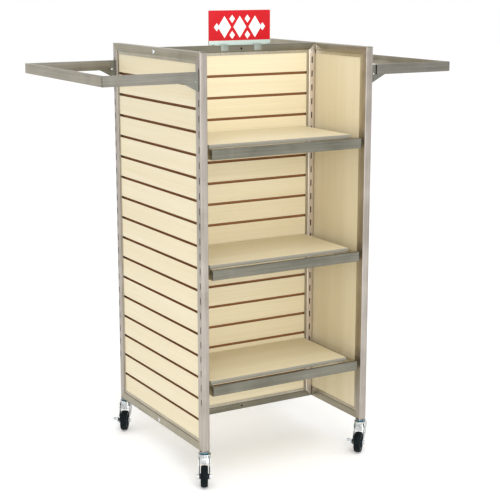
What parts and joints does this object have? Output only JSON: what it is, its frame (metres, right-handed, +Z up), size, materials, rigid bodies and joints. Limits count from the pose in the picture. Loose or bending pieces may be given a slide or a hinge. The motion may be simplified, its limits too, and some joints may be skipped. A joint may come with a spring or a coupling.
{
  "type": "mobile slatwall merchandiser",
  "caption": "H-shaped slatwall display stand: framed grooved end panels joined by a centre panel, with lift-off shelves, outward hangrails, a sign and swivel casters.",
  "frame": {"origin": "on the floor under the middle of the unit", "axes": "+X to the right and +Z up for someone who faces the shelves, which are on the -Y side"},
  "size_m": [1.36, 0.7784, 1.597],
  "materials": {
    "satin_nickel": "satin nickel plated steel tube, brushed along its length",
    "maple_slatwall": "pale maple laminate on fibreboard, brown core in the grooves",
    "maple_shelf": "pale maple laminate with a grey edge band",
    "zinc_plate": "bright zinc plate",
    "caster_tyre": "black rubber, smooth tread",
    "caster_hub": "black moulded plastic",
    "sign_card": "red card with a plain white geometric pattern",
    "sign_metal": "satin anodised"
  },
  "bodies": {
    "frame": {"left_front_post": "satin_nickel", "left_rear_post": "satin_nickel", "left_top_rail": "satin_nickel", "left_bottom_rail": "satin_nickel", "left_panel_channels": "satin_nickel", "left_slatwall": "maple_slatwall", "centre_left_standard": "satin_nickel", "right_front_post": "satin_nickel", "right_rear_post": "satin_nickel", "right_top_rail": "satin_nickel", "right_bottom_rail": "satin_nickel", "right_panel_channels": "satin_nickel", "right_slatwall": "maple_slatwall", "centre_right_standard": "satin_nickel", "centre_top_rail": "satin_nickel", "centre_bottom_rail": "satin_nickel", "centre_panel_channels": "satin_nickel", "centre_slatwall": "maple_slatwall", "frame_bolts": "zinc_plate", "sign_holder": "sign_metal", "sign_clips": "sign_metal", "left_front_stem": "zinc_plate", "left_rear_stem": "zinc_plate", "right_front_stem": "zinc_plate", "right_rear_stem": "zinc_plate"},
    "upper_shelf": {"upper_shelf_frame": "satin_nickel"},
    "upper_board": {"upper_shelf_board": "maple_shelf"},
    "middle_shelf": {"middle_shelf_frame": "satin_nickel"},
    "middle_board": {"middle_shelf_board": "maple_shelf"},
    "lower_shelf": {"lower_shelf_frame": "satin_nickel"},
    "lower_board": {"lower_shelf_board": "maple_shelf"},
    "left_hangrail": {"left_hangrail_bar": "satin_nickel", "left_front_bracket": "satin_nickel", "left_rear_bracket": "satin_nickel"},
    "right_hangrail": {"right_hangrail_bar": "satin_nickel", "right_front_bracket": "satin_nickel", "right_rear_bracket": "satin_nickel"},
    "sign": {"sign_card": "sign_card"},
    "left_front_caster": {"left_front_fork": "zinc_plate", "left_front_axle": "zinc_plate"},
    "left_front_wheel": {"left_front_hub": "caster_hub", "left_front_tyre": "caster_tyre"},
    "left_rear_caster": {"left_rear_fork": "zinc_plate", "left_rear_axle": "zinc_plate"},
    "left_rear_wheel": {"left_rear_hub": "caster_hub", "left_rear_tyre": "caster_tyre"},
    "left_rear_brake": {"left_rear_brake": "zinc_plate"},
    "right_front_caster": {"right_front_fork": "zinc_plate", "right_front_axle": "zinc_plate"},
    "right_front_wheel": {"right_front_hub": "caster_hub", "right_front_tyre": "caster_tyre"},
    "right_front_brake": {"right_front_brake": "zinc_plate"},
    "right_rear_caster": {"right_rear_fork": "zinc_plate", "right_rear_axle": "zinc_plate"},
    "right_rear_wheel": {"right_rear_hub": "caster_hub", "right_rear_tyre": "caster_tyre"}
  },
  "joints": [
    {"name": "upper_shelf_unhook", "type": "slide", "parent": "frame", "child": "upper_shelf", "axis": [0, 0, 1], "range_m": [0, 0.01]},
    {"name": "upper_board_lift", "type": "slide", "parent": "upper_shelf", "child": "upper_board", "axis": [0, 0, 1], "range_m": [0, 0.06]},
    {"name": "middle_shelf_unhook", "type": "slide", "parent": "frame", "child": "middle_shelf", "axis": [0, 0, 1], "range_m": [0, 0.01]},
    {"name": "middle_board_lift", "type": "slide", "parent": "middle_shelf", "child": "middle_board", "axis": [0, 0, 1], "range_m": [0, 0.06]},
    {"name": "lower_shelf_unhook", "type": "slide", "parent": "frame", "child": "lower_shelf", "axis": [0, 0, 1], "range_m": [0, 0.01]},
    {"name": "lower_board_lift", "type": "slide", "parent": "lower_shelf", "child": "lower_board", "axis": [0, 0, 1], "range_m": [0, 0.06]},
    {"name": "left_hangrail_unhook", "type": "slide", "parent": "frame", "child": "left_hangrail", "axis": [0, 0, 1], "range_m": [0, 0.01]},
    {"name": "right_hangrail_unhook", "type": "slide", "parent": "frame", "child": "right_hangrail", "axis": [0, 0, 1], "range_m": [0, 0.01]},
    {"name": "sign_lift", "type": "slide", "parent": "frame", "child": "sign", "axis": [0, 0, 1], "range_m": [0, 0.03]},
    {"name": "left_front_swivel", "type": "hinge", "parent": "frame", "child": "left_front_caster", "pos_m": [-0.326, -0.324, 0.118], "axis": [0, 0, 1], "continuous": true},
    {"name": "left_front_roll", "type": "hinge", "parent": "left_front_caster", "child": "left_front_wheel", "pos_m": [-0.342, -0.35171, 0.038], "axis": [0.866, -0.5, 0], "continuous": true},
    {"name": "left_rear_swivel", "type": "hinge", "parent": "frame", "child": "left_rear_caster", "pos_m": [-0.326, 0.324, 0.118], "axis": [0, 0, 1], "continuous": true},
    {"name": "left_rear_roll", "type": "hinge", "parent": "left_rear_caster", "child": "left_rear_wheel", "pos_m": [-0.34435, 0.29779, 0.038], "axis": [0.8192, -0.5736, 0], "continuous": true},
    {"name": "left_rear_brake_press", "type": "hinge", "parent": "left_rear_caster", "child": "left_rear_brake", "pos_m": [-0.34435, 0.29779, 0.038], "axis": [0.8192, -0.5736, 0], "range_deg": [0, 28]},
    {"name": "right_front_swivel", "type": "hinge", "parent": "frame", "child": "right_front_caster", "pos_m": [0.326, -0.324, 0.118], "axis": [0, 0, 1], "continuous": true},
    {"name": "right_front_roll", "type": "hinge", "parent": "right_front_caster", "child": "right_front_wheel", "pos_m": [0.30298, -0.34623, 0.038], "axis": [0.6947, -0.7193, 0], "continuous": true},
    {"name": "right_front_brake_press", "type": "hinge", "parent": "right_front_caster", "child": "right_front_brake", "pos_m": [0.30298, -0.34623, 0.038], "axis": [0.6947, -0.7193, 0], "range_deg": [0, 28]},
    {"name": "right_rear_swivel", "type": "hinge", "parent": "frame", "child": "right_rear_caster", "pos_m": [0.326, 0.324, 0.118], "axis": [0, 0, 1], "continuous": true},
    {"name": "right_rear_roll", "type": "hinge", "parent": "right_rear_caster", "child": "right_rear_wheel", "pos_m": [0.342, 0.35171, 0.038], "axis": [-0.866, 0.5, 0], "continuous": true}
  ]
}
